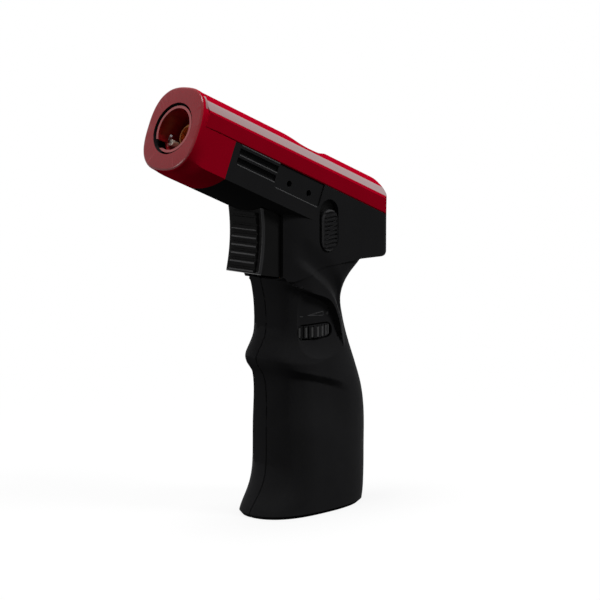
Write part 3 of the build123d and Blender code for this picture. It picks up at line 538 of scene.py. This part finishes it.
def carveSide(piece, side):
    mesh = bmesh.new()
    mesh.from_mesh(piece.data)

    def outer(face):
        middle = face.calc_center_median()
        if not carving["low"] * mm < middle.z < carving["high"] * mm or alongBarrel(middle)[2] > -11.5:
            return False
        if middle.x < -11 * mm and middle.y * side > 0.8 * mm and middle.z < 81 * mm:
            return face.normal.dot(middle - Vector((-2 * mm, 0, middle.z))) > 0 and not nearScrew(middle)
        return face.normal.y * side > 0.2 and middle.y * side > 7.5 * mm and middle.x < carving["right"] * mm

    for index in range(int((carving["high"] - carving["low"]) / carving["stepZ"])):
        sliceFaces(mesh, outer, (0, 0, (carving["low"] + index * carving["stepZ"]) * mm), (0, 0, 1))
    for index in range(int((carving["right"] - carving["left"]) / carving["stepX"])):
        sliceFaces(mesh, outer, ((carving["left"] + index * carving["stepX"]) * mm, 0, 0), (1, 0, 0))
    bmesh.ops.triangulate(mesh, faces=[face for face in mesh.faces if len(face.verts) > 4])
    mesh.normal_update()
    verts = {vert for face in mesh.faces if outer(face) for vert in face.verts}
    # how far the skin reaches to the front and the rear, level by level
    spacing = 2 * mm
    reach = {}
    for vert in verts:
        level = round(vert.co.z / spacing)
        first, last = reach.get(level, (1.0, -1.0))
        reach[level] = min(first, vert.co.x), max(last, vert.co.x)
    firsts = [(level * spacing, reach[level][0]) for level in sorted(reach)]
    lasts = [(level * spacing, reach[level][1]) for level in sorted(reach)]
    for vert in verts:
        fromFront = vert.co.x - lineAt(firsts, vert.co.z)
        fromRear = lineAt(lasts, vert.co.z) - vert.co.x
        weight = easeStep(vert.co.y * side, 2 * mm, 7 * mm) * easeStep(-alongBarrel(vert.co)[2], 11.6, 13.5)
        weight *= easeStep(fromFront, 0.8 * mm, 6.5 * mm) * easeStep(fromRear, 0.3 * mm, 3.5 * mm)
        away = Vector((-0.6, 0.8 * side, 0)).lerp(Vector((0, side, 0)), easeStep(fromFront, 0, 9 * mm))
        depth = max(carve(vert.co.x / mm, vert.co.z / mm), carving["deepest"])
        vert.co += away.normalized() * depth * weight * mm
    for vert in mesh.verts:
        inFront = vert.co.x < slotCorner["x"] * mm and abs(vert.co.y) > slotCorner["across"] * mm
        if inFront and slotCorner["low"] * mm < vert.co.z < slotCorner["high"] * mm:
            vert.co.z = slotCorner["level"] * mm
    mesh.to_mesh(piece.data)
    mesh.free()
    smooth(piece, sharpAngles["grip"])


def outsideTest(tree, side):
    # tells whether a place on the seam has nothing of its own half in front of it
    def openOutside(point):
        away = Vector((point.x, 0, point.z)) - Vector((seam["coreX"] * mm, 0, min(point.z, seam["coreTop"] * mm)))
        start = point + away.normalized() * 0.3 * mm + Vector((0, side * 0.5 * mm, 0))
        return tree.ray_cast(start, away.normalized(), 0.1)[0] is None
    return openOutside


carveSide(made["right_shell"], -1)
carveSide(made["left_shell"], 1)
for name in ("right_shell", "left_shell"):
    # the belly under the barrel is duller than the sides
    made[name].data.materials.append(undersidePlastic)
    for face in made[name].data.polygons:
        if face.normal.dot(barrelUp) < -0.3 and alongBarrel(face.center)[2] < -9:
            face.material_index = len(made[name].data.materials) - 1
for name, side in (("right_shell", -1), ("left_shell", 1)):
    tree = BVHTree.FromObject(made[name], bpy.context.evaluated_depsgraph_get())
    groove(made[name], (0, 0, 0), (0, 1, 0), lambda face: True, outsideTest(tree, side), sharpAngles["plain"])
print("grip and housing carved:", len(made["right_shell"].data.polygons), "faces on one side")


# trigger: the block's front edges are rounded, and their faces get a lighter, glossier black as a painted highlight
trigger = {"pitch": 10.0, "height": 95.6, "start": -17.5, "halfWidth": 8.8, "edge": 0.75}
slideAngle = math.radians(trigger["pitch"])
slide = Vector((math.cos(slideAngle), 0, -math.sin(slideAngle)))


def roundEdges(piece, chosen, width, material):
    piece.data.materials.append(material)
    mesh = bmesh.new()
    mesh.from_mesh(piece.data)
    mesh.normal_update()
    edges = [edge for edge in mesh.edges if len(edge.link_faces) == 2 and chosen(edge)]
    done = bmesh.ops.bevel(mesh, geom=edges, offset=width * mm, segments=3, profile=0.5, affect="EDGES")
    for face in done["faces"]:
        face.material_index = len(piece.data.materials) - 1
    mesh.to_mesh(piece.data)
    mesh.free()
    smooth(piece, sharpAngles["grip"])


def frontSideEdge(edge):
    wide = all(abs(abs(vert.co.y) - trigger["halfWidth"] * mm) < 0.02 * mm for vert in edge.verts)
    facing = sorted(face.normal.dot(slide) for face in edge.link_faces)
    return wide and facing[0] < -0.8 and abs(facing[1]) < 0.1


roundEdges(made["trigger"], frontSideEdge, trigger["edge"], polishedBlack)


# lock button: its bevelled rim gets a lighter, glossier black as a painted highlight
button = made["lock_button"]
button.data.materials.append(polishedBlack)
for face in button.data.polygons:
    if 0.35 < -face.normal.y < 0.9:
        face.material_index = 1


# bars that repeat along a bent path, and teeth round a wheel

def geometryTree(name, sockets):
    group = bpy.data.node_groups.new(name, "GeometryNodeTree")
    group.interface.new_socket("Geometry", in_out="OUTPUT", socket_type="NodeSocketGeometry")
    for label, kind in sockets:
        group.interface.new_socket(label, in_out="INPUT", socket_type="NodeSocket" + kind)
    return group, group.nodes.new("NodeGroupInput"), group.nodes.new("NodeGroupOutput")


def roundBar(group, given):
    # a bar with round section from minus to plus its half length
    line = group.nodes.new("GeometryNodeCurvePrimitiveLine")
    minus = group.nodes.new("ShaderNodeVectorMath")
    minus.operation = "SCALE"
    setInput(minus, "Scale", -1)
    group.links.new(given.outputs["Half Bar"], minus.inputs[0])
    group.links.new(minus.outputs["Vector"], line.inputs["Start"])
    group.links.new(given.outputs["Half Bar"], line.inputs["End"])
    ring = group.nodes.new("GeometryNodeCurvePrimitiveCircle")
    setInput(ring, "Resolution", 10)
    group.links.new(given.outputs["Bar Radius"], ring.inputs["Radius"])
    sweep = group.nodes.new("GeometryNodeCurveToMesh")
    setInput(sweep, "Fill Caps", True)
    group.links.new(line.outputs["Curve"], sweep.inputs["Curve"])
    group.links.new(ring.outputs["Curve"], sweep.inputs["Profile Curve"])
    return sweep.outputs["Mesh"]


def finishTree(group, given, result, points, bar):
    place = group.nodes.new("GeometryNodeInstanceOnPoints")
    group.links.new(points, place.inputs["Points"])
    group.links.new(bar, place.inputs["Instance"])
    real = group.nodes.new("GeometryNodeRealizeInstances")
    group.links.new(place.outputs["Instances"], real.inputs["Geometry"])
    paint = group.nodes.new("GeometryNodeSetMaterial")
    group.links.new(real.outputs["Geometry"], paint.inputs["Geometry"])
    group.links.new(given.outputs["Material"], paint.inputs["Material"])
    group.links.new(paint.outputs["Geometry"], result.inputs["Geometry"])


barRow, given, result = geometryTree("barRow", [
    ("Path Start", "Vector"), ("Path Middle", "Vector"), ("Path End", "Vector"), ("Count", "Int"),
    ("Half Bar", "Vector"), ("Bar Radius", "Float"), ("Material", "Material"),
])
bend = barRow.nodes.new("GeometryNodeCurveQuadraticBezier")
for label, socket in (("Path Start", "Start"), ("Path Middle", "Middle"), ("Path End", "End")):
    barRow.links.new(given.outputs[label], bend.inputs[socket])
spread = barRow.nodes.new("GeometryNodeCurveToPoints")
barRow.links.new(bend.outputs["Curve"], spread.inputs["Curve"])
barRow.links.new(given.outputs["Count"], spread.inputs["Count"])
finishTree(barRow, given, result, spread.outputs["Points"], roundBar(barRow, given))

toothRing, given, result = geometryTree("toothRing", [
    ("Centre", "Vector"), ("Ring Radius", "Float"), ("Count", "Int"),
    ("Half Bar", "Vector"), ("Bar Radius", "Float"), ("Material", "Material"),
])
hoop = toothRing.nodes.new("GeometryNodeMeshCircle")
toothRing.links.new(given.outputs["Count"], hoop.inputs["Vertices"])
toothRing.links.new(given.outputs["Ring Radius"], hoop.inputs["Radius"])
shift = toothRing.nodes.new("GeometryNodeTransform")
toothRing.links.new(hoop.outputs["Mesh"], shift.inputs["Geometry"])
toothRing.links.new(given.outputs["Centre"], shift.inputs["Translation"])
finishTree(toothRing, given, result, shift.outputs["Geometry"], roundBar(toothRing, given))


def grow(group, label, body, **values):
    # runs a tree with its values and leaves a plain mesh on one body
    seed = bpy.data.objects.new(label, bpy.data.meshes.new(label + "Seed"))
    bpy.context.scene.collection.objects.link(seed)
    modifier = seed.modifiers.new("grow", "NODES")
    modifier.node_group = group
    for item in group.interface.items_tree:
        key = item.name.replace(" ", "")
        key = key[0].lower() + key[1:]
        if item.in_out == "INPUT" and key in values:
            modifier[item.identifier] = values[key]
    bpy.context.view_layer.update()
    shape = bpy.data.meshes.new_from_object(seed.evaluated_get(bpy.context.evaluated_depsgraph_get()))
    seed.modifiers.remove(modifier)
    seed.data = shape
    shape.name = label
    smooth(seed, sharpAngles["bars"])
    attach(seed, body)
    return seed


def onTrigger(reach, height):
    up = Vector((-slide.z, 0, slide.x))
    return Vector((trigger["start"], 0, trigger["height"])) * mm + (slide * reach + up * height) * mm


# trigger pad: ridges across its hollow front, in lighter grey as a painted highlight
padRidges = {
    "start": (-8.42, -10.1), "middle": (-7.72, 0.6), "end": (-10.82, 9.3),
    "count": 8, "radius": 0.34, "halfLength": 6.2,
}
grow(
    barRow, "padRidges", "trigger", count=padRidges["count"], barRadius=padRidges["radius"] * mm,
    pathStart=onTrigger(*padRidges["start"]), pathMiddle=onTrigger(*padRidges["middle"]),
    pathEnd=onTrigger(*padRidges["end"]), halfBar=(0, padRidges["halfLength"] * mm, 0), material=wornBlack,
)

# housing: lips on the ribs beside the barrel, in lighter grey as a painted highlight
grille = {"start": 19.8, "end": 38.0, "low": -4.85, "high": 1.75, "count": 3, "radius": 0.24, "across": 13.2}
for side, label in ((-1, "Right"), (1, "Left")):
    across = side * grille["across"]
    middle = (grille["start"] + grille["end"]) / 2
    grow(
        barRow, "grilleLips" + label, "body", count=grille["count"], barRadius=grille["radius"] * mm,
        pathStart=pointOnBarrel(middle, across, grille["low"]),
        pathMiddle=pointOnBarrel(middle, across, (grille["low"] + grille["high"]) / 2),
        pathEnd=pointOnBarrel(middle, across, grille["high"]),
        halfBar=barrelAxis * (grille["end"] - grille["start"]) / 2 * mm, material=wornBlack,
    )

# lock button: ribs for the thumb
lockRibs = {
    "x": 1.2, "across": 14.0, "low": 94.2, "high": 104.6, "count": 9, "radius": 0.26, "halfBar": (2.6, 0, 0.5),
}


def onLock(z):
    return Vector((lockRibs["x"], -lockRibs["across"], z)) * mm


grow(
    barRow, "lockRibs", "lock", count=lockRibs["count"], barRadius=lockRibs["radius"] * mm,
    pathStart=onLock(lockRibs["low"]), pathMiddle=onLock((lockRibs["low"] + lockRibs["high"]) / 2),
    pathEnd=onLock(lockRibs["high"]), halfBar=Vector(lockRibs["halfBar"]) * mm, material=buttonPlastic,
)

# flame wheel: round teeth in a lighter grey than the wheel, a painted highlight
wheelRim = {"x": -3.2, "z": 64.6, "ringRadius": 12.05, "teeth": 32, "halfHeight": 1.7, "toothRadius": 0.55}
grow(
    toothRing, "wheelTeeth", "wheel", centre=Vector((wheelRim["x"], 0, wheelRim["z"])) * mm,
    ringRadius=wheelRim["ringRadius"] * mm, count=wheelRim["teeth"],
    halfBar=(0, 0, wheelRim["halfHeight"] * mm), barRadius=wheelRim["toothRadius"] * mm, material=wheelPlastic,
)

# housing: the ledge along the panel's lower edge, a lighter grey line as a painted highlight
ledge = {"start": 39.0, "end": 60.0, "height": -6.35, "across": 13.2, "radius": 0.2}
for side, label in ((-1, "Right"), (1, "Left")):
    place = pointOnBarrel((ledge["start"] + ledge["end"]) / 2, side * ledge["across"], ledge["height"])
    grow(
        barRow, "panelLedge" + label, "body", count=1, barRadius=ledge["radius"] * mm,
        pathStart=place, pathMiddle=place, pathEnd=place + barrelAxis * 0.01 * mm,
        halfBar=barrelAxis * (ledge["end"] - ledge["start"]) / 2 * mm, material=wornBlack,
    )

# moulded marks over the wheel: minus, a widening wedge, plus
marks = {
    "radius": 0.11,
    "bars": [
        (-9.8, 70.2, -8.4, 70.1), (-6.4, 70.3, 0.9, 69.7), (-6.4, 70.3, 0.9, 71.1), (0.9, 69.7, 0.9, 71.1),
        (2.2, 70.3, 3.6, 70.2), (2.9, 69.6, 2.9, 70.9),
    ],
}
bpy.context.view_layer.update()


def onSkin(x, z):
    # the place on the right half's skin that its side view shows at x and z
    return made["right_shell"].ray_cast(Vector((x, -30, z)) * mm, Vector((0, 1, 0)))[1]


for index, (x0, z0, x1, z1) in enumerate(marks["bars"]):
    start, end = onSkin(x0, z0), onSkin(x1, z1)
    middle = (start + end) / 2
    grow(
        barRow, "mark" + str(index), "body", count=1, barRadius=marks["radius"] * mm,
        pathStart=middle, pathMiddle=middle, pathEnd=middle + Vector((0, 0, 1e-5)),
        halfBar=(end - start) / 2, material=wornBlack,
    )
print("bars, teeth and marks grown")


for name, piece in made.items():
    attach(piece, bodyOf[name])
    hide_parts(name)

# the springs get meshes of their own; their joint, axis, anchor and share to keep are listed but not used here
springs = {
    "trigger_spring": {"joint": "trigger_slide", "axis": (0.9848, 0, -0.1736), "anchor": (4.1, 0, 98.8), "keep": 0.08},
    "filler_spring": {"joint": "filler_slide", "axis": (0, 0, 1), "anchor": (8.0, 0, 8.9), "keep": 0.7},
}
for name, spring in springs.items():
    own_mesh(made[name])
print("dressed pieces:", ", ".join(dressed.values()))


# studio
studio = {
    "cameraPlace": (-0.5420, -0.5772, 0.1881), "cameraAim": (0.0, 0.0, 0.074), "lens": 137.28,
    "sky": 0.18, "bounce": 0.05, "shadowShare": 0.12, "shadowStart": 0.05, "shadowReach": 0.30, "floorHalf": 4,
}

cameraData = bpy.data.cameras.new("camera")
camera = bpy.data.objects.new("camera", cameraData)
bpy.context.scene.collection.objects.link(camera)
camera.location = studio["cameraPlace"]
aim = Vector(studio["cameraAim"]) - camera.location
camera.rotation_mode = "QUATERNION"
camera.rotation_quaternion = aim.to_track_quat("-Z", "Y")
cameraData.lens = studio["lens"]
cameraData.sensor_width = 36
cameraData.clip_start = 0.01
bpy.context.scene.camera = camera


def seenDirectly(tree):
    # 1 for the rays that show the backdrop: straight from the camera, mirrored or through glass
    path = tree.nodes.new("ShaderNodeLightPath")
    total = path.outputs["Is Camera Ray"]
    for name in ("Is Glossy Ray", "Is Transmission Ray"):
        either = tree.nodes.new("ShaderNodeMath")
        either.operation = "MAXIMUM"
        tree.links.new(total, either.inputs[0])
        tree.links.new(path.outputs[name], either.inputs[1])
        total = either.outputs[0]
    return total


floorMesh = bpy.data.meshes.new("studioFloor")
half = studio["floorHalf"]
floorMesh.from_pydata([(-half, -half, 0), (half, -half, 0), (half, half, 0), (-half, half, 0)], [], [(0, 1, 2, 3)])
floor = bpy.data.objects.new("studioFloor", floorMesh)
bpy.context.scene.collection.objects.link(floor)
floorLook = bpy.data.materials.new("paleFloor")
floorLook.use_nodes = True
tree = floorLook.node_tree
tree.nodes.clear()


def floorNode(kind, **values):
    node = tree.nodes.new(kind)
    for key, value in values.items():
        setInput(node, key, value)
    return node


# near the object a share of the floor is lit by the lamps, so that the shadow shows; further out it is plain white
place = tree.nodes.new("ShaderNodeTexCoord")
spread = tree.nodes.new("ShaderNodeVectorMath")
spread.operation = "LENGTH"
tree.links.new(place.outputs["Object"], spread.inputs[0])
fade = tree.nodes.new("ShaderNodeMapRange")
fade.interpolation_type = "SMOOTHSTEP"
setInput(fade, "From Min", studio["shadowStart"])
setInput(fade, "From Max", studio["shadowReach"])
setInput(fade, "To Min", studio["shadowShare"])
setInput(fade, "To Max", 0.0)
tree.links.new(spread.outputs["Value"], fade.inputs["Value"])
glow = floorNode("ShaderNodeEmission", Color=(1, 1, 1, 1), Strength=1.0)
lit = floorNode("ShaderNodeBsdfDiffuse", Color=(0.9, 0.9, 0.9, 1))
dull = floorNode("ShaderNodeBsdfDiffuse", Color=(studio["bounce"],) * 3 + (1,))
shown = tree.nodes.new("ShaderNodeMixShader")
tree.links.new(fade.outputs["Result"], shown.inputs[0])
tree.links.new(glow.outputs[0], shown.inputs[1])
tree.links.new(lit.outputs[0], shown.inputs[2])
whole = tree.nodes.new("ShaderNodeMixShader")
tree.links.new(seenDirectly(tree), whole.inputs[0])
tree.links.new(dull.outputs[0], whole.inputs[1])
tree.links.new(shown.outputs[0], whole.inputs[2])
floorOut = tree.nodes.new("ShaderNodeOutputMaterial")
tree.links.new(whole.outputs[0], floorOut.inputs["Surface"])
floorMesh.materials.append(floorLook)

world = bpy.data.worlds.new("studioWorld")
bpy.context.scene.world = world
world.use_nodes = True
worldTree = world.node_tree
sky = worldTree.nodes["Background"]
setInput(sky, "Color", (1, 1, 1, 1))
setInput(sky, "Strength", studio["sky"])
white = worldTree.nodes.new("ShaderNodeBackground")
setInput(white, "Color", (1, 1, 1, 1))
setInput(white, "Strength", 1.0)
choose = worldTree.nodes.new("ShaderNodeMixShader")
worldTree.links.new(seenDirectly(worldTree), choose.inputs[0])
worldTree.links.new(sky.outputs[0], choose.inputs[1])
worldTree.links.new(white.outputs[0], choose.inputs[2])
worldTree.links.new(choose.outputs[0], worldTree.nodes["World Output"].inputs[0])

lamps = {
    "topLamp": {"from": (-0.15, 0.05, 0.98), "level": 0.70, "angle": 20},
    "frontLamp": {"from": (-0.90, 0.42, 0.08), "level": 0.28, "angle": 20},
    "sideLamp": {"from": (0.38, -0.62, 0.68), "level": 0.42, "angle": 15},
}
for name, values in lamps.items():
    data = bpy.data.lights.new(name, "SUN")
    data.energy = values["level"] * math.pi
    data.angle = math.radians(values["angle"])
    lamp = bpy.data.objects.new(name, data)
    bpy.context.scene.collection.objects.link(lamp)
    lamp.rotation_mode = "QUATERNION"
    lamp.rotation_quaternion = (-Vector(values["from"])).to_track_quat("-Z", "Y")

bpy.context.scene.view_settings.view_transform = "Standard"
print("studio set")

bpy.context.view_layer.update()
